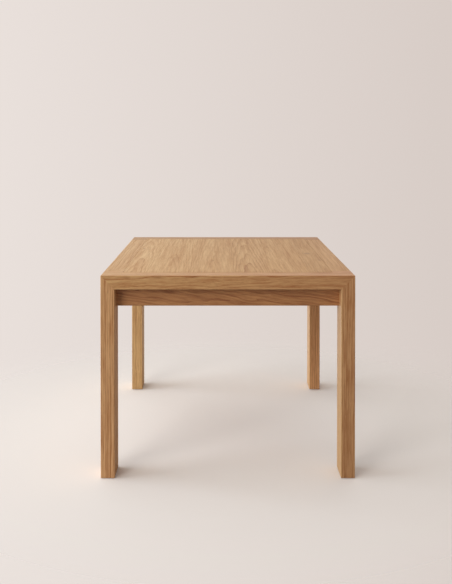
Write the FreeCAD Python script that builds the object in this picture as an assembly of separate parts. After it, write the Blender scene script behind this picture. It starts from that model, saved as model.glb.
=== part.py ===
import FreeCAD, Part
import math
import os

os.makedirs("parts", exist_ok=True)
Vector = FreeCAD.Vector

# Overall size of the table in millimetres: X across its ends, Y along its length, Z up
table_width = 950.0
table_length = 1200.0
table_height = 760.0

# Oak stock that the legs and the frame of the top are made from
stock_thickness = 52.0
stock_width = 110.0
edge_radius = 2.0

# Panel of edge-glued boards, laid in a rebate of the frame
ledge_width = 35.0
panel_thickness = 24.0
panel_gap = 0.5
board_chamfer = 0.4
# How much wider than the mean each board is, from left to right
board_extra_widths = (-14.0, -10.0, -27.0, -2.0, -26.5, 50.5, 42.0, -13.0)

# Aprons under the frame, with stub tenons in the legs
apron_height = 70.0
apron_thickness = 22.0
end_apron_setback = 48.0
side_apron_setback = 12.0
tenon_thickness = 12.0
tenon_length = 25.0
tenon_shoulder = 8.0
mortise_clearance = 0.15
mortise_end_room = 1.0

# Bearers across the underside of the panel, housed in the side rails
bearer_width = 60.0
bearer_thickness = 24.0
bearer_housing = 15.0
bearer_spacing = 257.0
bearer_chamfer = 2.0
housing_clearance = 0.2

# Corner blocks between the aprons, behind the legs
block_height = 50.0
block_thickness = 30.0
block_standoff = 6.0

# Dowels across the mitres of the legs and between the rails
dowel_diameter = 10.0
dowel_end_room = 1.0
mitre_dowel_length = 40.0
mitre_dowel_count = 3
rail_dowel_length = 60.0
rail_dowel_spacing = 28.0

# Countersunk wood screws
screw_diameter = 4.5
screw_head_diameter = 9.0
screw_tip_length = 5.0
screw_sink = 0.4
screw_cover = 8.0
screw_recess_width = 1.1
screw_recess_length = 5.0
screw_recess_depth = 1.8
fastener_clearance = 0.1
apron_screw_count = 4
apron_screw_margin = 90.0
apron_counterbore = 30.0
apron_screw_bite = 26.0
block_screw_inset = 16.0
block_screw_margin = 14.0

# Levelling feet: a pad on a threaded stud, wound into an insert and sunk in the foot of the leg
leg_bottom = 1.5
pad_diameter = 30.0
pad_height = 4.5
pad_floor = 1.2
pad_edge = 1.0
pad_clearance = 1.0
stud_diameter = 8.0
stud_spare = 2.0
leveller_travel = 10.0
insert_diameter = 12.0
insert_length = 20.0
running_clearance = 0.05
rest_gap = 0.3

# Places worked out from the sizes above
half_width = table_width / 2
half_length = table_length / 2
rail_bottom = table_height - stock_thickness
panel_bottom = table_height - panel_thickness
ledge_thickness = panel_bottom - rail_bottom
leg_inside_x = half_width - stock_thickness
leg_inside_y = half_length - stock_width
rail_inside_x = half_width - stock_width
panel_edge_x = rail_inside_x + ledge_width
panel_edge_y = leg_inside_y + ledge_width
apron_bottom = rail_bottom - apron_height
apron_outer_x = half_width - side_apron_setback
apron_outer_y = half_length - end_apron_setback
apron_inner_x = apron_outer_x - apron_thickness
apron_inner_y = apron_outer_y - apron_thickness
foot_x = half_width - stock_thickness / 2
foot_y = half_length - stock_width / 2
past_face = 5.0

up = Vector(0, 0, 1)
down = Vector(0, 0, -1)
corners = {
    "front_left": (-1, -1),
    "front_right": (1, -1),
    "back_left": (-1, 1),
    "back_right": (1, 1),
}
ends = {"front": -1, "back": 1}
sides = {"left": -1, "right": 1}

# The solids of each piece, and the holes and recesses to be cut in it
pieces = {}
recesses = {}


def add_piece(name, solids):
    pieces[name] = solids
    recesses[name] = []


def box_between(x_pair, y_pair, z_pair):
    low = Vector(min(x_pair), min(y_pair), min(z_pair))
    high = Vector(max(x_pair), max(y_pair), max(z_pair))
    size = high - low
    return Part.makeBox(size.x, size.y, size.z, low)


def prism(points, run):
    return Part.Face(Part.makePolygon(points + [points[0]])).extrude(run)


def turned(profile):
    points = [Vector(radius, 0, height) for radius, height in profile]
    face = Part.Face(Part.makePolygon(points + [points[0]]))
    return face.revolve(Vector(0, 0, 0), up, 360)


def placed(shape, base, direction):
    copy = shape.copy()
    copy.Placement = FreeCAD.Placement(base, FreeCAD.Rotation(up, direction))
    return copy


def rounding(start, run, inward_a, inward_b):
    """The waste outside a quarter round, along an edge whose two faces run inward_a and inward_b."""
    r = edge_radius
    on_a = start + inward_a * r
    on_b = start + inward_b * r
    centre = on_a + inward_b * r
    middle = centre - (inward_a + inward_b) * (r / math.sqrt(2))
    outline = Part.makePolygon([
        on_a,
        on_a - inward_b * past_face,
        start - (inward_a + inward_b) * past_face,
        on_b - inward_a * past_face,
        on_b,
    ])
    arc = Part.Arc(on_b, middle, on_a).toShape()
    return Part.Face(Part.Wire(outline.Edges + [arc])).extrude(run)


def evenly_spaced(reach, count):
    step = 2 * reach / (count - 1)
    return [-reach + step * index for index in range(count)]


# Legs: posts of the frame's stock, mitred at the head to meet the end rail
def leg(side, end):
    outer_x = side * half_width
    inner_x = side * leg_inside_x
    outer_y = end * half_length
    inner_y = end * leg_inside_y
    body = prism(
        [
            Vector(inner_x, inner_y, leg_bottom),
            Vector(outer_x, inner_y, leg_bottom),
            Vector(outer_x, inner_y, table_height),
            Vector(inner_x, inner_y, rail_bottom),
        ],
        Vector(0, outer_y - inner_y, 0),
    )
    out_x = Vector(side, 0, 0)
    out_y = Vector(0, end, 0)
    post = rail_bottom - leg_bottom
    across_x = Vector(inner_x - outer_x, 0, 0)
    across_y = Vector(0, inner_y - outer_y, 0)
    waste = [
        rounding(Vector(outer_x, outer_y, leg_bottom), up * (post + stock_thickness), -out_x, -out_y),
        rounding(Vector(inner_x, outer_y, leg_bottom), up * (post + edge_radius), out_x, -out_y),
        rounding(Vector(inner_x, inner_y, leg_bottom), up * post, out_x, out_y),
        rounding(Vector(outer_x, inner_y, leg_bottom), up * post, -out_x, out_y),
        rounding(Vector(outer_x, outer_y, leg_bottom), across_x, -out_y, up),
        rounding(Vector(outer_x, inner_y, leg_bottom), across_x, out_y, up),
        rounding(Vector(outer_x, outer_y, leg_bottom), across_y, -out_x, up),
        rounding(Vector(inner_x, outer_y, leg_bottom), across_y, out_x, up),
        rounding(Vector(outer_x, outer_y, table_height), across_y, -out_x, down),
    ]
    return body.cut(waste)


for corner, (side, end) in corners.items():
    add_piece(f"leg_{corner}", [leg(side, end)])


# End rails: the full width of the table, mitred to the legs, with a stopped rebate for the panel
def end_rail(end):
    outer_y = end * half_length
    inner_y = end * leg_inside_y
    body = prism(
        [
            Vector(-half_width, inner_y, table_height),
            Vector(half_width, inner_y, table_height),
            Vector(leg_inside_x, inner_y, rail_bottom),
            Vector(-leg_inside_x, inner_y, rail_bottom),
        ],
        Vector(0, outer_y - inner_y, 0),
    )
    out_y = Vector(0, end, 0)
    lower_half = leg_inside_x + edge_radius
    waste = [
        box_between(
            (-panel_edge_x, panel_edge_x),
            (inner_y - end * past_face, end * panel_edge_y),
            (panel_bottom, table_height + past_face),
        ),
        rounding(Vector(-half_width, outer_y, table_height), Vector(table_width, 0, 0), -out_y, down),
        rounding(Vector(-lower_half, outer_y, rail_bottom), Vector(2 * lower_half, 0, 0), -out_y, up),
        rounding(Vector(-rail_inside_x, inner_y, rail_bottom), Vector(2 * rail_inside_x, 0, 0), out_y, up),
    ]
    for side in sides.values():
        out_x = Vector(side, 0, 0)
        top_corner = Vector(side * half_width, outer_y, table_height)
        waste.append(rounding(top_corner, out_y * -stock_width, -out_x, down))
        waste.append(rounding(top_corner, down * stock_thickness, -out_x, -out_y))
    return body.cut(waste)


for name, end in ends.items():
    add_piece(f"end_rail_{name}", [end_rail(end)])


# Side rails: butted between the end rails, rebated along their whole inner edge
def side_rail(side):
    outer_x = side * half_width
    inner_x = side * rail_inside_x
    body = box_between((inner_x, outer_x), (-leg_inside_y, leg_inside_y), (rail_bottom, table_height))
    out_x = Vector(side, 0, 0)
    run = Vector(0, 2 * leg_inside_y, 0)
    waste = [
        box_between(
            (inner_x - side * past_face, side * panel_edge_x),
            (-leg_inside_y, leg_inside_y),
            (panel_bottom, table_height + past_face),
        ),
        rounding(Vector(outer_x, -leg_inside_y, table_height), run, -out_x, down),
        rounding(Vector(outer_x, -leg_inside_y, rail_bottom), run, -out_x, up),
        rounding(Vector(inner_x, -leg_inside_y, rail_bottom), run, out_x, up),
    ]
    return body.cut(waste)


for name, side in sides.items():
    add_piece(f"side_rail_{name}", [side_rail(side)])

# Dowels across each mitre, square to its face
mitre_middle = (half_width + leg_inside_x) / 2
mitre_height = (table_height + rail_bottom) / 2
mitre_dowels = []
for corner, (side, end) in corners.items():
    along = Vector(side, 0, -1).normalize()
    for index in range(mitre_dowel_count):
        offset = stock_width * (index + 0.5) / mitre_dowel_count
        centre = Vector(side * mitre_middle, end * (leg_inside_y + offset), mitre_height)
        start = centre - along * (mitre_dowel_length / 2)
        mitre_dowels.append(Part.makeCylinder(dowel_diameter / 2, mitre_dowel_length, start, along))
        hole = Part.makeCylinder(
            dowel_diameter / 2 + fastener_clearance,
            mitre_dowel_length + 2 * dowel_end_room,
            start - along * dowel_end_room,
            along,
        )
        recesses[f"leg_{corner}"].append(hole)
        recesses["end_rail_" + corner.split("_")[0]].append(hole)
add_piece("mitre_dowels", mitre_dowels)

# Dowels between the side rails and the end rails, under the rebate
rail_dowels = []
for corner, (side, end) in corners.items():
    along = Vector(0, end, 0)
    for step in (-0.5, 0.5):
        x = side * ((rail_inside_x + leg_inside_x) / 2 + step * rail_dowel_spacing)
        start = Vector(x, end * (leg_inside_y - rail_dowel_length / 2), rail_bottom + ledge_thickness / 2)
        rail_dowels.append(Part.makeCylinder(dowel_diameter / 2, rail_dowel_length, start, along))
        hole = Part.makeCylinder(
            dowel_diameter / 2 + fastener_clearance,
            rail_dowel_length + 2 * dowel_end_room,
            start - along * dowel_end_room,
            along,
        )
        end_name, side_name = corner.split("_")
        recesses[f"end_rail_{end_name}"].append(hole)
        recesses[f"side_rail_{side_name}"].append(hole)
add_piece("rail_dowels", rail_dowels)

# Top boards: edge to edge across the panel, with their upper edges just broken
boards_width = 2 * (panel_edge_x - panel_gap)
board_mean_width = (boards_width - sum(board_extra_widths)) / len(board_extra_widths)
board_end_y = panel_edge_y - panel_gap
board_centres = []
board_left = -boards_width / 2
for number, extra in enumerate(board_extra_widths, start=1):
    board_right = board_left + board_mean_width + extra
    board = box_between((board_left, board_right), (-board_end_y, board_end_y), (panel_bottom, table_height))
    top_face = max(board.Faces, key=lambda face: face.CenterOfMass.z)
    add_piece(f"top_board_{number}", [board.makeChamfer(board_chamfer, top_face.Edges)])
    board_centres.append((board_left + board_right) / 2)
    board_left = board_right


# Wood screws: countersunk head at the origin, point along +Z, with a cross recess
def screw_profile(length, extra):
    head_radius = screw_head_diameter / 2 + extra
    shank_radius = screw_diameter / 2 + extra
    head_depth = (screw_head_diameter - screw_diameter) / 2
    tip_radius = shank_radius / 4
    return [
        (0, 0),
        (head_radius, 0),
        (shank_radius, head_depth),
        (shank_radius, length - screw_tip_length),
        (tip_radius, length + extra),
        (0, length + extra),
    ]


def screw(length):
    body = turned(screw_profile(length, 0))
    half = screw_recess_length / 2
    slot = screw_recess_width / 2
    depth = (-past_face, screw_recess_depth)
    return body.cut([
        box_between((-half, half), (-slot, slot), depth),
        box_between((-slot, slot), (-half, half), depth),
    ])


def screw_hole(length, mouth):
    hole = turned(screw_profile(length, fastener_clearance))
    mouth_radius = screw_head_diameter / 2 + fastener_clearance
    return hole.fuse(Part.makeCylinder(mouth_radius, mouth, Vector(0, 0, -mouth), up))


def drive(solids, base, direction, length, mouth, through):
    solids.append(placed(screw(length), base, direction))
    for name in through:
        recesses[name].append(placed(screw_hole(length, mouth), base, direction))


# Bearers: flat battens that keep the boards level, dropped into housings in the side rails
bearer_end_x = rail_inside_x + bearer_housing
bearer_bottom = panel_bottom - bearer_thickness
bearer_places = {"front": -bearer_spacing, "middle": 0.0, "back": bearer_spacing}
bearer_screws = []
for name, y in bearer_places.items():
    half = bearer_width / 2
    bearer = box_between((-bearer_end_x, bearer_end_x), (y - half, y + half), (bearer_bottom, panel_bottom))
    bottom_face = min(bearer.Faces, key=lambda face: face.CenterOfMass.z)
    long_edges = [edge for edge in bottom_face.Edges if edge.Length > bearer_width + housing_clearance]
    add_piece(f"bearer_{name}", [bearer.makeChamfer(bearer_chamfer, long_edges)])
    housing_half = half + housing_clearance
    housing_end_x = bearer_end_x + housing_clearance
    for side_name, side in sides.items():
        recesses[f"side_rail_{side_name}"].append(box_between(
            (side * (rail_inside_x - past_face), side * housing_end_x),
            (y - housing_half, y + housing_half),
            (bearer_bottom, panel_bottom + past_face),
        ))
    for number, x in enumerate(board_centres, start=1):
        head = Vector(x, y, bearer_bottom + screw_sink)
        length = bearer_thickness + panel_thickness - screw_cover
        drive(bearer_screws, head, up, length, past_face, (f"bearer_{name}", f"top_board_{number}"))
add_piece("bearer_screws", bearer_screws)

# Screws through the ledges of the end rails into the ends of the boards
ledge_screws = []
for name, end in ends.items():
    for number, x in enumerate(board_centres, start=1):
        head = Vector(x, end * (leg_inside_y + ledge_width / 2), rail_bottom + screw_sink)
        length = ledge_thickness + panel_thickness - screw_cover
        drive(ledge_screws, head, up, length, past_face, (f"end_rail_{name}", f"top_board_{number}"))
add_piece("ledge_screws", ledge_screws)


# Aprons: thin rails under the frame, stub-tenoned into the legs
def apron(x_pair, y_pair, tenon_x, tenon_y):
    body = box_between(x_pair, y_pair, (apron_bottom, rail_bottom))
    bottom_face = min(body.Faces, key=lambda face: face.CenterOfMass.z)
    long_edges = [edge for edge in bottom_face.Edges if edge.Length > 2 * apron_thickness]
    tenons = box_between(tenon_x, tenon_y, (apron_bottom + tenon_shoulder, rail_bottom - tenon_shoulder))
    return body.makeFillet(edge_radius, long_edges).fuse(tenons).removeSplitter()


mortise_z = (
    apron_bottom + tenon_shoulder - mortise_clearance,
    rail_bottom - tenon_shoulder + mortise_clearance,
)
tenon_inset = (apron_thickness - tenon_thickness) / 2
mortise_inset = tenon_inset - mortise_clearance
mortise_depth = tenon_length + mortise_end_room

for name, end in ends.items():
    tenon_end_x = leg_inside_x + tenon_length
    add_piece(f"apron_{name}", [apron(
        (-leg_inside_x, leg_inside_x),
        (end * apron_inner_y, end * apron_outer_y),
        (-tenon_end_x, tenon_end_x),
        (end * (apron_inner_y + tenon_inset), end * (apron_outer_y - tenon_inset)),
    )])
    for side_name, side in sides.items():
        recesses[f"leg_{name}_{side_name}"].append(box_between(
            (side * (leg_inside_x - past_face), side * (leg_inside_x + mortise_depth)),
            (end * (apron_inner_y + mortise_inset), end * (apron_outer_y - mortise_inset)),
            mortise_z,
        ))

for name, side in sides.items():
    tenon_end_y = leg_inside_y + tenon_length
    add_piece(f"apron_{name}", [apron(
        (side * apron_inner_x, side * apron_outer_x),
        (-leg_inside_y, leg_inside_y),
        (side * (apron_inner_x + tenon_inset), side * (apron_outer_x - tenon_inset)),
        (-tenon_end_y, tenon_end_y),
    )])
    for end_name, end in ends.items():
        recesses[f"leg_{end_name}_{name}"].append(box_between(
            (side * (apron_inner_x + mortise_inset), side * (apron_outer_x - mortise_inset)),
            (end * (leg_inside_y - past_face), end * (leg_inside_y + mortise_depth)),
            mortise_z,
        ))

# Long screws, counterbored in the lower edge of each apron, that draw it up to its rail
apron_screws = []
apron_screw_length = apron_height - apron_counterbore + apron_screw_bite
apron_screw_z = apron_bottom + apron_counterbore
for name, end in ends.items():
    y = end * (apron_inner_y + apron_thickness / 2)
    for x in evenly_spaced(leg_inside_x - apron_screw_margin, apron_screw_count):
        drive(
            apron_screws, Vector(x, y, apron_screw_z), up, apron_screw_length,
            apron_counterbore + past_face, (f"apron_{name}", f"end_rail_{name}"),
        )
for name, side in sides.items():
    x = side * (apron_inner_x + apron_thickness / 2)
    for y in evenly_spaced(leg_inside_y - apron_screw_margin, apron_screw_count):
        drive(
            apron_screws, Vector(x, y, apron_screw_z), up, apron_screw_length,
            apron_counterbore + past_face, (f"apron_{name}", f"side_rail_{name}"),
        )
add_piece("apron_screws", apron_screws)

# Corner blocks: bars set at 45 degrees behind the legs, their ends flat on the aprons
block_bottom = rail_bottom - block_height
leg_face_line = leg_inside_x + leg_inside_y - block_standoff * math.sqrt(2)
room_face_line = leg_face_line - block_thickness * math.sqrt(2)
block_screw_grip = block_thickness * math.sqrt(2) - block_screw_inset
block_screw_length = block_screw_grip + apron_thickness - screw_cover
block_screws = []
for corner, (side, end) in corners.items():
    end_name, side_name = corner.split("_")
    plan = [
        (leg_face_line - apron_inner_y, apron_inner_y),
        (apron_inner_x, leg_face_line - apron_inner_x),
        (apron_inner_x, room_face_line - apron_inner_x),
        (room_face_line - apron_inner_y, apron_inner_y),
    ]
    corner_points = [Vector(side * x, end * y, block_bottom) for x, y in plan]
    block_name = f"corner_block_{corner}"
    add_piece(block_name, [prism(corner_points, up * block_height)])
    end_screw_x = side * (leg_face_line - apron_inner_y - block_screw_inset)
    side_screw_y = end * (leg_face_line - apron_inner_x - block_screw_inset)
    for z in (block_bottom + block_screw_margin, rail_bottom - block_screw_margin):
        drive(
            block_screws, Vector(end_screw_x, end * (apron_inner_y - block_screw_grip), z),
            Vector(0, end, 0), block_screw_length, block_thickness,
            (block_name, f"apron_{end_name}"),
        )
        drive(
            block_screws, Vector(side * (apron_inner_x - block_screw_grip), side_screw_y, z),
            Vector(side, 0, 0), block_screw_length, block_thickness,
            (block_name, f"apron_{side_name}"),
        )
add_piece("corner_block_screws", block_screws)

# Levelling feet: each pad and its stud move up and down together, in a counterbore and an insert of the leg
insert_bottom = pad_height + rest_gap
insert_top = insert_bottom + insert_length
stud_top = insert_top + leveller_travel + stud_spare
stud_radius = stud_diameter / 2
pad_radius = pad_diameter / 2
pad_hole_radius = stud_radius + fastener_clearance
pad = turned([
    (0, 0),
    (pad_radius - pad_edge, 0),
    (pad_radius, pad_edge),
    (pad_radius, pad_height - pad_edge),
    (pad_radius - pad_edge, pad_height),
    (pad_hole_radius, pad_height),
    (pad_hole_radius, pad_floor),
    (0, pad_floor),
])
stud = Part.makeCylinder(stud_radius, stud_top - pad_floor, Vector(0, 0, pad_floor))
insert = Part.makeCylinder(insert_diameter / 2, insert_length, Vector(0, 0, insert_bottom)).cut(
    Part.makeCylinder(stud_radius + running_clearance, insert_length, Vector(0, 0, insert_bottom))
)
pad_seat = Part.makeCylinder(pad_radius + pad_clearance, insert_bottom + past_face, Vector(0, 0, -past_face))
insert_seat = Part.makeCylinder(insert_diameter / 2 + fastener_clearance, insert_top)
stud_room = Part.makeCylinder(stud_radius + rest_gap, stud_top + stud_spare)
inserts = []
for corner, (side, end) in corners.items():
    foot = Vector(side * foot_x, end * foot_y, 0)
    add_piece(f"leveller_pad_{corner}", [placed(pad, foot, up)])
    add_piece(f"leveller_stud_{corner}", [placed(stud, foot, up)])
    inserts.append(placed(insert, foot, up))
    recesses[f"leg_{corner}"] += [placed(hole, foot, up) for hole in (pad_seat, insert_seat, stud_room)]
add_piece("leg_inserts", inserts)

for name, solids in pieces.items():
    if recesses[name]:
        solids = [solid.cut(recesses[name]) for solid in solids]
    bodies = [body for solid in solids for body in solid.Solids]
    shape = bodies[0] if len(bodies) == 1 else Part.makeCompound(bodies)
    shape.exportStep(f"parts/{name}.step")
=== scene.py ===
import math

import bmesh
import bpy
from mathutils import Euler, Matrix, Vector


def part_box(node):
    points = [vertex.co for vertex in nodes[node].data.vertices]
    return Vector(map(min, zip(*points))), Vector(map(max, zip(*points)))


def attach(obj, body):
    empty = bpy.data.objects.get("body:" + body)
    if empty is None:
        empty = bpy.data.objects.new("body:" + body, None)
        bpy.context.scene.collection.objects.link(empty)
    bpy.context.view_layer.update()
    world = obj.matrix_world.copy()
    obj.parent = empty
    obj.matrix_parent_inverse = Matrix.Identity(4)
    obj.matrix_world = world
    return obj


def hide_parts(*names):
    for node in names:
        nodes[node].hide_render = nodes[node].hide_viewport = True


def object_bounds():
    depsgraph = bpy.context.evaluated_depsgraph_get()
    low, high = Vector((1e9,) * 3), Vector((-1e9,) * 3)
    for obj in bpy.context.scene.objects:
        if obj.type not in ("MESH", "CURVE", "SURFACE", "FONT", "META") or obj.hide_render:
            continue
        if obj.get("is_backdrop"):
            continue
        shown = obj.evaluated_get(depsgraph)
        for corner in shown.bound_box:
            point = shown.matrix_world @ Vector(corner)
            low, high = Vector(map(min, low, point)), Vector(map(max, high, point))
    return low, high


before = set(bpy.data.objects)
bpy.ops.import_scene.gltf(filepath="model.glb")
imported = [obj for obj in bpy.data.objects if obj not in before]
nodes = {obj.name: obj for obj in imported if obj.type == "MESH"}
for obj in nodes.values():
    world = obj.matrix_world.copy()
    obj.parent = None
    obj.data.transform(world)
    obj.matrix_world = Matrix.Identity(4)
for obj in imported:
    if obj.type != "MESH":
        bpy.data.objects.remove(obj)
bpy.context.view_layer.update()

# Legs: four posts of planed oak with just eased edges, mitred at the head to the end rails.
# A satin oil lets the long grain show as fine brown streaks and the open pores as short dark dashes.
# The front legs are painted paler towards the head, a painted light, and the right legs carry a painted
# sheen: a pale strip on their left faces, which face the window.
MM = 0.001
UPWARDS = Vector((0, 0, 1))
ACROSS_GRAIN = (1, 1, 0)
NOISE_MIDDLE = (0.5, 0.5, 0.5)
NOISE_LOW = 0.3
NOISE_HIGH = 0.7


def linear(code, shade=1.0):
    """An sRGB hex colour as linear RGBA, made lighter or darker by shade."""
    values = [int(code[start:start + 2], 16) / 255 for start in (1, 3, 5)]
    light = [v / 12.92 if v <= 0.04045 else ((v + 0.055) / 1.055) ** 2.4 for v in values]
    return [v * shade for v in light] + [1.0]


def add_node(tree, kind, inputs, **settings):
    """Adds a shader node with its settings. An input is a value, a socket, or a node's first output.

    Inputs are called by name or by number. A Map Range takes its value at 0, the range that it comes from at
    1 and 2, and the range that it goes to at 3 and 4. A Mix of colours takes its share at 0 and its colours
    at 6 and 7, and gives the mixed colour at output 2.
    """
    node = tree.nodes.new("ShaderNode" + kind)
    for name, value in settings.items():
        setattr(node, name, value)
    for key, value in inputs.items():
        if isinstance(value, bpy.types.Node):
            value = value.outputs[0]
        if isinstance(value, bpy.types.NodeSocket):
            tree.links.new(value, node.inputs[key])
        else:
            node.inputs[key].default_value = value
    return node


def new_material(name):
    """An empty material and its node tree."""
    material = bpy.data.materials.new(name)
    material.use_nodes = True
    material.node_tree.nodes.clear()
    return material, material.node_tree


def sway_fibres(tree, log, wave):
    """Lets the straight fibres of a log sway from side to side, by about wave mm."""
    sway_width = 35
    sway_length = 140
    usual_swing = 0.25
    near = add_node(tree, "Mapping", {"Vector": log, "Scale": (1, 1, sway_width / sway_length)})
    sway = add_node(tree, "TexNoise", {"Vector": near, "Scale": 1 / sway_width, "Detail": 1})
    swing = add_node(tree, "VectorMath", {0: sway.outputs["Color"], 1: NOISE_MIDDLE}, operation="SUBTRACT")
    bend = (wave / usual_swing, wave / usual_swing, 0)
    return add_node(tree, "VectorMath", {0: swing, 1: bend, 2: log}, operation="MULTIPLY_ADD")


def bend_round_knot(tree, section, log, centre, half_width, half_length):
    """Pushes the growth rings aside round a knot, and gives them and the knot's dark eye."""
    bend_reach = 3.5 * half_width
    bend_strength = 0.75
    eye_reach = 1.5 * half_width
    eye_strength = 0.5
    aside = add_node(tree, "VectorMath", {0: log, 1: centre}, operation="SUBTRACT")
    squeeze = (1, 1, half_width / half_length)
    squeezed = add_node(tree, "VectorMath", {0: aside, 1: squeeze}, operation="MULTIPLY")
    reach = add_node(tree, "VectorMath", {0: squeezed}, operation="LENGTH").outputs["Value"]
    push = add_node(tree, "MapRange", {
        0: reach, 1: 0.0, 2: bend_reach, 3: -bend_strength, 4: 0.0,
    }, interpolation_type="SMOOTHSTEP")
    pull = add_node(tree, "VectorMath", {0: aside, "Scale": push}, operation="SCALE")
    bent = add_node(tree, "VectorMath", {0: pull, 1: ACROSS_GRAIN, 2: section}, operation="MULTIPLY_ADD")
    eye = add_node(tree, "MapRange", {
        0: reach, 1: 0.0, 2: eye_reach, 3: eye_strength, 4: 0.0,
    }, interpolation_type="SMOOTHSTEP")
    return bent, eye


def count_years(tree, section, slow, ring):
    """Counts the years from the heart outwards, in rings that wander over the length of the log."""
    for width, drift in ((42, 16), (9, 2.4)):
        noise = add_node(tree, "TexNoise", {"Vector": slow, "Scale": 1 / width, "Detail": 1})
        offset = add_node(tree, "VectorMath", {
            0: noise.outputs["Color"], 1: NOISE_MIDDLE,
        }, operation="SUBTRACT")
        section = add_node(tree, "VectorMath", {
            0: offset, 1: (drift, drift, 0), 2: section,
        }, operation="MULTIPLY_ADD")
    radius = add_node(tree, "VectorMath", {0: section}, operation="LENGTH").outputs["Value"]
    return add_node(tree, "Math", {0: radius, 1: ring}, operation="DIVIDE")


def darken_grain(tree, years, season, slow, long, figure, streaks):
    """How dark the wood is, from 0 to 1: the late wood, which is darker in some years, and the streaks.

    Streaks 14 and 5 mm wide and fibres 2 mm wide are drawn coarser than life so that they show, and clouds
    70 mm wide let a plank change slowly.
    """
    late_sharpness = 2.2
    weak_year = 0.15 * figure
    strong_year = 0.7 * figure
    palest = 0.16 * figure - 0.45
    darkest = 0.16 * figure + 0.55
    late = add_node(tree, "Math", {0: season, 1: late_sharpness}, operation="POWER")
    year = add_node(tree, "Math", {0: years}, operation="FLOOR")
    weather = add_node(tree, "TexWhiteNoise", {"W": year}, noise_dimensions="1D")
    strength = add_node(tree, "MapRange", {0: weather, 1: 0.0, 2: 1.0, 3: weak_year, 4: strong_year})
    depth = add_node(tree, "Math", {0: late, 1: strength}, operation="MULTIPLY")
    broad, middling, fine = streaks
    clouds = 0.6 * broad
    for coords, width, share in ((long, 14, broad), (long, 5, middling), (long, 2, fine), (slow, 70, clouds)):
        noise = add_node(tree, "TexNoise", {
            "Vector": coords, "Scale": 1 / width, "Detail": 3, "Roughness": 0.55,
        })
        part = add_node(tree, "MapRange", {
            0: noise, 1: NOISE_LOW, 2: NOISE_HIGH, 3: -share / 2, 4: share / 2,
        }, clamp=False)
        depth = add_node(tree, "Math", {0: depth, 1: part}, operation="ADD")
    return add_node(tree, "MapRange", {0: depth, 1: palest, 2: darkest, 3: 0.0, 4: 1.0})


def open_pores(tree, season, long):
    """Pores drawn 0.9 mm wide, coarser than life so that they show, and thickest in the dark of each ring."""
    pore_width = 0.9
    pore_edge = 0.56
    pore_middle = 0.68
    late_start = 0.3
    pale_share = 0.15
    dark_share = 0.6
    pore = add_node(tree, "TexNoise", {"Vector": long, "Scale": 1 / pore_width, "Detail": 1})
    dash = add_node(tree, "MapRange", {0: pore, 1: pore_edge, 2: pore_middle, 3: 0.0, 4: 1.0})
    zone = add_node(tree, "MapRange", {0: season, 1: late_start, 2: 1.0, 3: pale_share, 4: dark_share})
    return add_node(tree, "Math", {0: dash, 1: zone}, operation="MULTIPLY")


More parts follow.
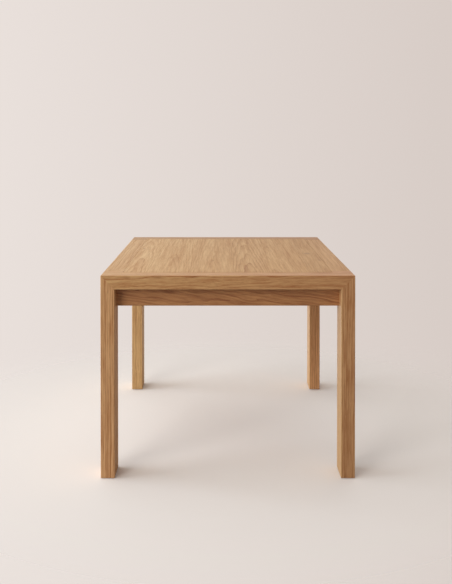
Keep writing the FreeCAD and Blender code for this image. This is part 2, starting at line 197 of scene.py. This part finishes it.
def oiled_oak(piece, grain, heart, ring, lean, shade, stretch, wave, streaks, pale, brown, figure=1.0,
              knots=(), painted_seam_shade=0.0, rough=(0.40, 0.50), painted_far_tones=None, painted_sheen=0.0):
    """Planed oak under a satin oil, for one piece of the table.

    Grain is the direction of the fibres. Heart is where the tree's heart lay, in mm from the middle of the
    piece: two places across the grain and one along it. Ring is a year's growth in mm, and lean tilts the
    heart, in degrees, which draws the rings out into long arches. Shade darkens or lightens the plank.
    Stretch is how long a streak is for its width, wave how far the fibres sway in mm, and streaks the
    strengths of the broad, middle and fine ones. Pale and brown are the two colours of the wood, and figure
    strengthens its rings. A knot is a place, a half width and a half length in mm. Painted seam shade is how
    much darker the ends of a board are painted, a painted shade along the joint with the end rails. Rough is
    the roughness of the pale and of the dark wood. Painted far tones are the two colours at the end that the
    grain points to: painted light and shade, which make the piece lighter or darker along its length where
    the light falls on it more or less. Painted sheen is how strong a pale strip is, a painted sheen from the
    window, over the left face and along the left edge.
    """
    material, tree = new_material("oiled_oak_" + piece)
    low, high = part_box(piece)
    middle = (low + high) / 2 / MM
    tilt = Euler([math.radians(angle) for angle in lean]).to_matrix()
    turn = tilt @ grain.rotation_difference(UPWARDS).to_matrix()
    place = -(turn @ middle) - Vector(heart)
    spot = add_node(tree, "TexCoord", {}).outputs["Object"]
    log = add_node(tree, "Mapping", {
        "Vector": spot, "Location": place, "Rotation": turn.to_euler(), "Scale": (1 / MM,) * 3,
    })
    fibre = sway_fibres(tree, log, wave)
    slow_stretch = 18
    slow = add_node(tree, "Mapping", {"Vector": fibre, "Scale": (1, 1, 1 / slow_stretch)})
    long = add_node(tree, "Mapping", {"Vector": fibre, "Scale": (1, 1, 1 / stretch)})

    section = add_node(tree, "VectorMath", {0: fibre, 1: ACROSS_GRAIN}, operation="MULTIPLY")
    eyes = []
    for knot_place, half_width, half_length in knots:
        centre = turn @ Vector(knot_place) + place
        section, eye = bend_round_knot(tree, section, log, centre, half_width, half_length)
        eyes.append(eye)
    years = count_years(tree, section, slow, ring)
    season = add_node(tree, "Math", {0: years}, operation="FRACT")
    depth = darken_grain(tree, years, season, slow, long, figure, streaks)

    tones = [linear(pale, shade), linear(brown, shade)]
    near_end = low.dot(grain)
    far_end = high.dot(grain)
    if painted_seam_shade or painted_far_tones:
        along = add_node(tree, "VectorMath", {0: spot, 1: grain}, operation="DOT_PRODUCT").outputs["Value"]
    # Painted shade: the ends of a board are darkened along the joint with the end rails, as the shadow of the
    # seam.
    if painted_seam_shade:
        seam_shade_start = far_end - 22 * MM
        seam_shade_full = far_end - 4 * MM
        from_middle = add_node(tree, "Math", {0: along}, operation="ABSOLUTE")
        seam_shade = add_node(tree, "MapRange", {
            0: from_middle, 1: seam_shade_start, 2: seam_shade_full, 3: 0.0, 4: painted_seam_shade,
        }, interpolation_type="SMOOTHSTEP")
        depth = add_node(tree, "Math", {0: depth, 1: seam_shade}, operation="ADD", use_clamp=True)
    # Painted light and shade: the piece is painted lighter or darker towards the end that the grain points
    # to.
    if painted_far_tones:
        how_far = add_node(tree, "MapRange", {0: along, 1: near_end, 2: far_end, 3: 0.0, 4: 1.0})
        for index, painted_far_tone in enumerate(painted_far_tones):
            change = {0: how_far, 6: tones[index], 7: linear(painted_far_tone, shade)}
            tones[index] = add_node(tree, "Mix", change, data_type="RGBA").outputs[2]
    colour = add_node(tree, "Mix", {0: depth, 6: tones[0], 7: tones[1]}, data_type="RGBA")

    pores = open_pores(tree, season, long)
    marks = [(pores, "#805430")]
    # Painted sheen: a pale strip over the left face and along the left edge, where the window at the left
    # lights the leg.
    if painted_sheen:
        sheen_full = low.x + 1 * MM
        sheen_end = low.x + 6 * MM
        across = add_node(tree, "SeparateXYZ", {0: spot}).outputs["X"]
        sheen_strip = add_node(tree, "MapRange", {0: across, 1: sheen_full, 2: sheen_end, 3: painted_sheen, 4: 0.0})
        marks.append((sheen_strip, "#e0bb83"))
    marks += [(eye, "#7c4619") for eye in eyes]
    for share, code in marks:
        colour = add_node(tree, "Mix", {
            0: share, 6: colour.outputs[2], 7: linear(code, shade),
        }, data_type="RGBA")

    smooth, dull = rough
    polish = add_node(tree, "MapRange", {0: depth, 1: 0.0, 2: 1.0, 3: smooth, 4: dull})
    relief = add_node(tree, "Math", {0: pores, 1: -1.0, 2: depth}, operation="MULTIPLY_ADD")
    bump = add_node(tree, "Bump", {"Height": relief, "Strength": 0.3, "Distance": 0.15 * MM})
    shader = add_node(tree, "BsdfPrincipled", {
        "Base Color": colour.outputs[2], "Roughness": polish, "IOR": 1.48, "Normal": bump,
    })
    add_node(tree, "OutputMaterial", {"Surface": shader})
    nodes[piece].material_slots[0].material = material


# Painted light and shade in the legs' tones: the front right leg is painted darker and the back left one
# paler and yellower.
leg_planks = {
    "front_left": {
        "heart": (-130, -40, 300), "shade": 1.07, "pale": "#cfa374", "brown": "#9e6738",
        "painted_far_tones": ("#dbae7b", "#a86f3d"), "rough": (0.60, 0.70),
    },
    "front_right": {
        "heart": (120, -60, -900), "shade": 0.90, "pale": "#c99b6b", "brown": "#996133",
        "painted_far_tones": ("#daa876", "#a86c3a"), "painted_sheen": 0.45,
    },
    "back_left": {
        "heart": (-140, 60, 1400), "shade": 1.12, "pale": "#d6b27c", "brown": "#a67543",
        "rough": (0.52, 0.62),
    },
    "back_right": {
        "heart": (150, 50, -2100), "shade": 1.10, "pale": "#d8a472", "brown": "#a66a38",
        "painted_sheen": 0.45,
    },
}
for corner, plank in leg_planks.items():
    oiled_oak(
        "leg_" + corner, UPWARDS, ring=9, lean=(0.5, -0.4, 0), stretch=34, wave=2.0,
        streaks=(0.22, 0.75, 0.5), **plank,
    )

# End rails: one oak plank across each end of the top, with its grain running from side to side.
# They meet the legs in long 45 degree mitres, and a rebate on the inside carries the ends of the boards.
# The front one has a few small dark knots close to its upper edge, and both are painted browner to the right,
# a painted shade where less light reaches from the window at the left.
SIDEWAYS = Vector((1, 0, 0))
rail_low, rail_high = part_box("end_rail_front")
rail_face = rail_low.y / MM
rail_top = rail_high.z / MM
rail_knots = [
    ((-262, rail_face, rail_top - 6), 5, 24),
    ((-124, rail_face, rail_top - 5), 4, 22),
    ((-380, rail_face, rail_top - 8), 3, 16),
]
end_planks = {
    "front": {"heart": (-75, 105, 500), "shade": 1.12, "knots": rail_knots},
    "back": {"heart": (60, -110, -700), "shade": 0.92},
}
for end, plank in end_planks.items():
    oiled_oak(
        "end_rail_" + end, SIDEWAYS, ring=6.5, lean=(0.6, 0.4, 0), stretch=18, wave=3.0,
        streaks=(0.28, 0.55, 0.5), pale="#d3ab75", brown="#a26938", painted_far_tones=("#c39566", "#945a2f"), **plank,
    )

# Side rails: oak planks along both sides of the top, butted between the end rails.
# Each has the same rebate along its inner edge, and housings underneath for the bearers.
LENGTHWISE = Vector((0, 1, 0))
# The left rail is painted lighter and paler and the right one darker, a painted light and shade from the
# window at the left.
side_planks = {
    "left": {"heart": (-110, 50, 800), "shade": 1.08, "pale": "#d6b079"},
    "right": {"heart": (120, 40, -400), "shade": 0.88, "pale": "#d7a86c"},
}
for side, plank in side_planks.items():
    oiled_oak(
        "side_rail_" + side, LENGTHWISE, ring=6, lean=(0.4, -0.5, 0), stretch=60, wave=1.5,
        streaks=(0.4, 0.6, 0.5), brown="#ab753c", **plank,
    )

# Dowels: turned beech pegs, glued across the mitres of the legs and between the rails.
# Bare beech is an even pinkish tan, and its rays show as short brown flecks along the grain.
def bare_beech(piece, grain, name, mirrored=False):
    """Planed or turned beech, unfinished.

    Grain is the direction of the fibres. A mirrored piece has it the other way about on the left side of the
    table. Ray flecks are 0.3 mm wide in life and are drawn about 1 mm wide so that they show.
    """
    streak_width = 9
    streak_stretch = 40
    fleck_width = 1.0
    fleck_stretch = 7
    fleck_edge = 0.58
    fleck_middle = 0.68
    fleck_strength = 0.55
    material, tree = new_material(name)
    spot = add_node(tree, "TexCoord", {}).outputs["Object"]
    if mirrored:
        spot = add_node(tree, "VectorMath", {0: spot}, operation="ABSOLUTE")
    turn = grain.rotation_difference(UPWARDS).to_euler()
    stick = add_node(tree, "Mapping", {"Vector": spot, "Rotation": turn, "Scale": (1 / MM,) * 3})
    long = add_node(tree, "Mapping", {"Vector": stick, "Scale": (1, 1, 1 / streak_stretch)})
    short = add_node(tree, "Mapping", {"Vector": stick, "Scale": (1, 1, 1 / fleck_stretch)})
    streak = add_node(tree, "TexNoise", {"Vector": long, "Scale": 1 / streak_width, "Detail": 3})
    depth = add_node(tree, "MapRange", {0: streak, 1: NOISE_LOW, 2: NOISE_HIGH, 3: 0.0, 4: 1.0})
    wood = add_node(tree, "Mix", {0: depth, 6: linear("#d8b48c"), 7: linear("#c0966a")}, data_type="RGBA")
    ray = add_node(tree, "TexNoise", {"Vector": short, "Scale": 1 / fleck_width, "Detail": 1})
    fleck = add_node(tree, "MapRange", {0: ray, 1: fleck_edge, 2: fleck_middle, 3: 0.0, 4: fleck_strength})
    colour = add_node(tree, "Mix", {
        0: fleck, 6: wood.outputs[2], 7: linear("#93643f"),
    }, data_type="RGBA")
    rough = add_node(tree, "MapRange", {0: streak, 1: NOISE_LOW, 2: NOISE_HIGH, 3: 0.62, 4: 0.74})
    bump = add_node(tree, "Bump", {"Height": streak, "Strength": 0.25, "Distance": 0.1 * MM})
    shader = add_node(tree, "BsdfPrincipled", {
        "Base Color": colour.outputs[2], "Roughness": rough, "IOR": 1.5, "Normal": bump,
    })
    add_node(tree, "OutputMaterial", {"Surface": shader})
    nodes[piece].material_slots[0].material = material


bare_beech("mitre_dowels", SIDEWAYS - UPWARDS, "turned_beech_mitre_dowels", mirrored=True)
bare_beech("rail_dowels", LENGTHWISE, "turned_beech_rail_dowels")

# Top boards: eight planed oak boards laid edge to edge in the rebate, grain running front to back.
# They were sawn at different places in the log, so most show straight lines and two show arches.
# Their ends are painted darker along the joint with the end rails, a painted shade of the seam.
# The boards are painted lighter and yellower at the left and darker at the right, as painted light from the
# window at the left.
board_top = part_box("top_board_1")[1].z / MM
left_knots = [((-382, 157, board_top), 7, 18)]
right_knots = [((356, -8, board_top), 16, 30), ((388, -207, board_top), 8, 18)]
board_planks = [
    {"heart": (-8, 48, 1300), "shade": 1.12, "figure": 0.7, "pale": "#d6b27b", "knots": left_knots},
    {"heart": (70, 55, 2600), "shade": 1.08, "figure": 0.45, "pale": "#d6b178"},
    {"heart": (-60, 70, 3900), "shade": 1.06, "figure": 0.5, "pale": "#d5af75"},
    {"heart": (70, 75, 5200), "shade": 1.02, "figure": 0.5, "pale": "#d5ad72"},
    {"heart": (-62, 60, 6500), "shade": 0.99, "figure": 0.4, "pale": "#d5ac70"},
    {"heart": (-14, 52, 7800), "shade": 0.96, "figure": 0.95, "pale": "#d5ab6e"},
    {"heart": (-75, 55, 9100), "shade": 0.95, "figure": 0.5, "pale": "#d5aa6c"},
    {"heart": (65, 70, 10400), "shade": 0.9, "figure": 0.55, "pale": "#d5a96b", "knots": right_knots},
]
for number, plank in enumerate(board_planks, start=1):
    oiled_oak(
        f"top_board_{number}", LENGTHWISE, ring=8, lean=(1.6, 0.25, 0), stretch=60, wave=1.5,
        streaks=(0.46, 0.38, 0.34), painted_seam_shade=0.3, brown="#ab753b", **plank,
    )

# Bearers: three flat beech battens across the underside, dropped into housings in the side rails.
# They keep the boards level, and are left bare because nobody sees them.
for name in ("front", "middle", "back"):
    bare_beech("bearer_" + name, SIDEWAYS, "planed_beech_bearer_" + name)

# Aprons: thin oak rails under the frame, set back from its face and stub-tenoned into the legs.
# Their wood is painted redder and darker, a painted shade where they lie back under the frame; it is more
# strongly figured than the rest, and the front one has a few dark streaks.
apron_low, apron_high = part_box("apron_front")
apron_face = apron_low.y / MM
apron_top = apron_high.z / MM
dark_streaks = [
    ((-225, apron_face, apron_top - 18), 4, 30),
    ((-118, apron_face, apron_top - 20), 4, 30),
    ((118, apron_face, apron_top - 22), 5, 34),
]
apron_planks = {
    "front": {"grain": SIDEWAYS, "knots": dark_streaks},
    "back": {"grain": SIDEWAYS},
    "left": {"grain": LENGTHWISE},
    "right": {"grain": LENGTHWISE},
}
for name, plank in apron_planks.items():
    oiled_oak(
        "apron_" + name, heart=(20, 40, 600), ring=5.5, lean=(0.9, -7.0, 0), shade=0.9, stretch=20,
        wave=4.0, streaks=(0.45, 0.6, 0.3), pale="#cf9661", brown="#975d35", figure=1.2, **plank,
    )

# Corner blocks: bars of bare beech set at 45 degrees behind the legs, glued and screwed to two aprons.
# They stiffen each corner, and their grain runs from one apron to the other.
block_grains = {
    "front_left": SIDEWAYS - LENGTHWISE,
    "front_right": SIDEWAYS + LENGTHWISE,
    "back_left": SIDEWAYS + LENGTHWISE,
    "back_right": SIDEWAYS - LENGTHWISE,
}
for corner, grain in block_grains.items():
    bare_beech("corner_block_" + corner, grain, "planed_beech_block_" + corner)

# Screws: countersunk wood screws, cold-headed from steel wire, with a cross recess in the head.
# Bright zinc plating is a bluish grey metal, a little milky, with faint clouds where it dried.
cloud_width = 4 * MM
speck_width = 0.5 * MM
zinc, tree = new_material("bright_zinc_plated_steel")
spot = add_node(tree, "TexCoord", {}).outputs["Object"]
cloud = add_node(tree, "TexNoise", {"Vector": spot, "Scale": 1 / cloud_width, "Detail": 3})
tone = add_node(tree, "Mix", {0: cloud, 6: linear("#c6c8c8"), 7: linear("#a6abb2")}, data_type="RGBA")
speck = add_node(tree, "TexNoise", {"Vector": spot, "Scale": 1 / speck_width, "Detail": 2})
rough = add_node(tree, "MapRange", {0: speck, 1: NOISE_LOW, 2: NOISE_HIGH, 3: 0.28, 4: 0.44})
bump = add_node(tree, "Bump", {"Height": speck, "Strength": 0.2, "Distance": 0.03 * MM})
shader = add_node(tree, "BsdfPrincipled", {
    "Base Color": tone.outputs[2], "Metallic": 1.0, "Roughness": rough, "Normal": bump,
})
add_node(tree, "OutputMaterial", {"Surface": shader})
for name in ("apron_screws", "bearer_screws", "ledge_screws", "corner_block_screws"):
    nodes[name].material_slots[0].material = zinc

# Inserts: brass sleeves pressed into the feet of the legs, with the thread for the levelling feet.
# They are turned from bar, which leaves fine rings round them, and have dulled a little.
ring_spacing = 0.4 * MM
ring_change = 6 * MM
brass, tree = new_material("turned_brass")
spot = add_node(tree, "TexCoord", {}).outputs["Object"]
lathe = add_node(tree, "Mapping", {
    "Vector": spot, "Scale": (1 / ring_change, 1 / ring_change, 1 / ring_spacing),
})
ring = add_node(tree, "TexNoise", {"Vector": lathe, "Scale": 1.0, "Detail": 2})
tone = add_node(tree, "Mix", {0: ring, 6: linear("#c29d52"), 7: linear("#9b7a38")}, data_type="RGBA")
rough = add_node(tree, "MapRange", {0: ring, 1: NOISE_LOW, 2: NOISE_HIGH, 3: 0.26, 4: 0.42})
bump = add_node(tree, "Bump", {"Height": ring, "Strength": 0.25, "Distance": 0.04 * MM})
shader = add_node(tree, "BsdfPrincipled", {
    "Base Color": tone.outputs[2], "Metallic": 1.0, "Roughness": rough, "Normal": bump,
})
add_node(tree, "OutputMaterial", {"Surface": shader})
nodes["leg_inserts"].material_slots[0].material = brass

# Levelling feet: a steel stud with a rolled M8 thread, moulded into a round nylon pad.
# Each is wound up or down in its insert, and at rest the pad is sunk in the foot of the leg.
# The nylon is dark, with the dull, faintly grained skin of a sparked mould.
skin_grain = 0.5 * MM
flow_width = 9 * MM
nylon, tree = new_material("dark_moulded_nylon")
spot = add_node(tree, "TexCoord", {}).outputs["Object"]
skin = add_node(tree, "TexNoise", {"Vector": spot, "Scale": 1 / skin_grain, "Detail": 2})
flow = add_node(tree, "TexNoise", {"Vector": spot, "Scale": 1 / flow_width, "Detail": 2})
tone = add_node(tree, "Mix", {0: flow, 6: linear("#2f2823"), 7: linear("#241f1c")}, data_type="RGBA")
rough = add_node(tree, "MapRange", {0: skin, 1: NOISE_LOW, 2: NOISE_HIGH, 3: 0.45, 4: 0.6})
bump = add_node(tree, "Bump", {"Height": skin, "Strength": 0.3, "Distance": 0.05 * MM})
shader = add_node(tree, "BsdfPrincipled", {
    "Base Color": tone.outputs[2], "Roughness": rough, "IOR": 1.53, "Normal": bump,
})
add_node(tree, "OutputMaterial", {"Surface": shader})

thread_pitch = 1.25 * MM
thread_depth = 0.54 * thread_pitch
root_end = 0.25 * thread_pitch
crest_start = 0.5625 * thread_pitch
crest_end = 0.6875 * thread_pitch
steps_in_turn = 24
stud_weld = 0.02 * MM
pad_rim_width = 4 * MM
pad_dish = 0.4 * MM
pad_rounding = 1.0 * MM
pad_floor = 1.2 * MM
steps_round_pad = 64
pad_weld = 0.01 * MM
hole_clearance = 0.1 * MM
sharp_angle = math.radians(35)


def add_piece(name, shape, place, material):
    """Makes a finished bmesh an object of the table, with its place in its mesh."""
    bmesh.ops.recalc_face_normals(shape, faces=shape.faces)
    bmesh.ops.translate(shape, verts=shape.verts, vec=place)
    for face in shape.faces:
        face.smooth = True
    mesh = bpy.data.meshes.new(name)
    shape.to_mesh(mesh)
    shape.free()
    mesh.set_sharp_from_angle(angle=sharp_angle)
    mesh.materials.append(material)
    piece = bpy.data.objects.new(name, mesh)
    bpy.context.scene.collection.objects.link(piece)
    return piece


def outline(shape, points):
    """A chain of edges through points given as radius and height."""
    verts = [shape.verts.new((radius, 0, height)) for radius, height in points]
    edges = [shape.edges.new(pair) for pair in zip(verts, verts[1:])]
    return verts + edges


for corner in leg_planks:
    body = "leveller_" + corner

    low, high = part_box("leveller_stud_" + corner)
    stud_radius = (high.x - low.x) / 2
    root = stud_radius - thread_depth
    turns = math.ceil((high.z - low.z) / thread_pitch) + 2
    start = low.z - thread_pitch
    shape = bmesh.new()
    tooth = outline(shape, [
        (root, start), (root, start + root_end),
        (stud_radius, start + crest_start), (stud_radius, start + crest_end),
        (root, start + thread_pitch),
    ])
    bmesh.ops.spin(
        shape, geom=tooth, axis=(0, 0, 1), cent=(0, 0, 0), dvec=(0, 0, thread_pitch / steps_in_turn),
        angle=2 * math.pi * turns, steps=steps_in_turn * turns,
    )
    bmesh.ops.remove_doubles(shape, verts=shape.verts, dist=stud_weld)
    for height, direction in ((low.z, -1), (high.z, 1)):
        bmesh.ops.bisect_plane(
            shape, geom=shape.verts[:] + shape.edges[:] + shape.faces[:], plane_co=(0, 0, height),
            plane_no=(0, 0, direction), clear_outer=True,
        )
        bmesh.ops.holes_fill(shape, edges=[e for e in shape.edges if e.is_boundary], sides=0)
    foot = Vector(((low.x + high.x) / 2, (low.y + high.y) / 2, 0))
    stud = add_piece("threaded_stud_" + corner, shape, foot, zinc)
    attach(stud, body)
    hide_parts("leveller_stud_" + corner)

    low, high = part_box("leveller_pad_" + corner)
    pad_radius = (high.x - low.x) / 2
    hole_radius = stud_radius + hole_clearance
    shape = bmesh.new()
    section = outline(shape, [
        (0, low.z + pad_dish), (pad_radius - pad_rim_width - pad_dish, low.z + pad_dish),
        (pad_radius - pad_rim_width, low.z), (pad_radius, low.z), (pad_radius, high.z),
        (hole_radius, high.z), (hole_radius, low.z + pad_floor), (0, low.z + pad_floor),
    ])
    bmesh.ops.spin(
        shape, geom=section, axis=(0, 0, 1), cent=(0, 0, 0), angle=2 * math.pi, steps=steps_round_pad,
        use_merge=True,
    )
    bmesh.ops.remove_doubles(shape, verts=shape.verts, dist=pad_weld)
    outer_edges = [
        edge for edge in shape.edges
        if all(math.hypot(v.co.x, v.co.y) > pad_radius - pad_weld for v in edge.verts)
        and abs(edge.verts[0].co.z - edge.verts[1].co.z) < pad_weld
    ]
    bmesh.ops.bevel(
        shape, geom=outer_edges, offset=pad_rounding, affect="EDGES", segments=4, profile=0.5, material=-1,
    )
    pad = add_piece("moulded_pad_" + corner, shape, foot, nylon)
    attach(pad, body)
    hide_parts("leveller_pad_" + corner)

# Floor: a plain pale studio floor that fades into the backdrop and takes the table's shadow.
# The camera sees it paler than it lights the table, and it is painted palest under the table's middle, a
# painted light that thins the table's shadow there.
floor_reach = 9.0
fade_start = 0.55
fade_end = 1.8
palest_reach = 0.15
pale_reach = 1.15
floor_mesh = bpy.data.meshes.new("studio_floor")
shape = bmesh.new()
bmesh.ops.create_grid(shape, x_segments=1, y_segments=1, size=floor_reach)
shape.to_mesh(floor_mesh)
shape.free()
floor = bpy.data.objects.new("studio_floor", floor_mesh)
bpy.context.scene.collection.objects.link(floor)
floor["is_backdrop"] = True
floor_paint, tree = new_material("pale_studio_floor")
spot = add_node(tree, "TexCoord", {}).outputs["Object"]
away = add_node(tree, "VectorMath", {0: spot}, operation="LENGTH").outputs["Value"]
fade = add_node(tree, "MapRange", {
    0: away, 1: fade_start, 2: fade_end, 3: 0.0, 4: 1.0,
}, interpolation_type="SMOOTHSTEP")
# Painted light: the floor's colour is palest under the middle of the table and darker further out.
painted_light_spread = add_node(tree, "MapRange", {
    0: away, 1: palest_reach, 2: pale_reach, 3: 0.0, 4: 1.0,
}, interpolation_type="SMOOTHSTEP")
shown = add_node(tree, "Mix", {0: painted_light_spread, 6: linear("#fdf9f6"), 7: linear("#e9e6e3")}, data_type="RGBA")
path = add_node(tree, "LightPath", {})
paint = add_node(tree, "Mix", {
    0: path.outputs["Is Camera Ray"], 6: linear("#c2bab4"), 7: shown.outputs[2],
}, data_type="RGBA")
matt = add_node(tree, "BsdfDiffuse", {"Color": paint.outputs[2]})
clear = add_node(tree, "BsdfTransparent", {})
mixed = add_node(tree, "MixShader", {0: fade, 1: matt, 2: clear})
add_node(tree, "OutputMaterial", {"Surface": mixed})
floor_mesh.materials.append(floor_paint)

# Light: a tall soft window at the left, a softbox in front and a low reflector at the right, in a pale
# surround that is brightest above, to the left and a little behind.
brightest_way = (-0.55, 0.35, 0.76)
dim_fill = 0.14
bright_fill = 1.27
backdrop_half_width = 0.26
world = bpy.data.worlds.new("pale_surround")
bpy.context.scene.world = world
world.use_nodes = True
tree = world.node_tree
tree.nodes.clear()
path = add_node(tree, "LightPath", {})
seen = add_node(tree, "Math", {
    0: path.outputs["Is Camera Ray"], 1: path.outputs["Is Glossy Ray"],
}, operation="MAXIMUM")
seen = add_node(tree, "Math", {0: seen, 1: path.outputs["Is Transmission Ray"]}, operation="MAXIMUM")
toward = add_node(tree, "TexCoord", {}).outputs["Generated"]
slope = add_node(tree, "VectorMath", {0: toward, 1: brightest_way}, operation="DOT_PRODUCT").outputs["Value"]
level = add_node(tree, "MapRange", {0: slope, 1: 0.0, 2: 1.0, 3: dim_fill, 4: bright_fill})
fill = add_node(tree, "Background", {"Color": linear("#fff8f1"), "Strength": level})
# Painted light on the backdrop: the wall is paler at the left and darker at the right, as if lit from the
# window at the left.
left_to_right = add_node(tree, "SeparateXYZ", {0: toward}).outputs["X"]
side = add_node(tree, "MapRange", {
    0: left_to_right, 1: -backdrop_half_width, 2: backdrop_half_width, 3: 0.0, 4: 1.0,
})
painted_wall_light = add_node(tree, "Mix", {0: side, 6: linear("#e9e0db"), 7: linear("#d8cdc7")}, data_type="RGBA")
backdrop = add_node(tree, "Background", {"Color": painted_wall_light.outputs[2], "Strength": 1.0})
mixed = add_node(tree, "MixShader", {0: seen, 1: fill, 2: backdrop})
add_node(tree, "OutputWorld", {"Surface": mixed})

for name, place, aim, size, power, tint in (
    ("left_window", (-8.0, -0.5, 2.5), (0, -0.5, 2.0), (5.8, 5.0), 490, "#e8f4ff"),
    ("front_softbox", (-4.4, -6.4, 3.2), (0, -0.4, 0.5), (3.6, 3.6), 222, "#fff8f2"),
    ("right_reflector", (6.5, -0.3, 0.8), (0, -0.2, 0.4), (4.0, 1.4), 50, "#fff0e2"),
):
    lamp_data = bpy.data.lights.new(name, "AREA")
    lamp_data.shape = "RECTANGLE"
    lamp_data.size, lamp_data.size_y = size
    lamp_data.energy = power
    lamp_data.color = linear(tint)[:3]
    lamp = bpy.data.objects.new(name, lamp_data)
    lamp.location = place
    lamp.rotation_euler = (Vector(aim) - Vector(place)).to_track_quat("-Z", "Y").to_euler()
    lamp.visible_camera = False
    bpy.context.scene.collection.objects.link(lamp)

# Camera: at the height of a standing person's chest, a little left of the table's middle, almost level.
# The lens is shifted down, as on a view camera, so that the legs stay upright in the picture.
level_pitch = 90
tilt_down = 0.8
camera_data = bpy.data.cameras.new("camera")
camera_data.lens = 50.6
camera_data.shift_x = 0.0097
camera_data.shift_y = -0.2428
camera = bpy.data.objects.new("camera", camera_data)
camera.location = (-0.028, -3.650, 1.270)
camera.rotation_euler = (math.radians(level_pitch - tilt_down), 0, 0)
bpy.context.scene.collection.objects.link(camera)
bpy.context.scene.camera = camera
bpy.context.scene.view_settings.view_transform = "Standard"

low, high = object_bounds()
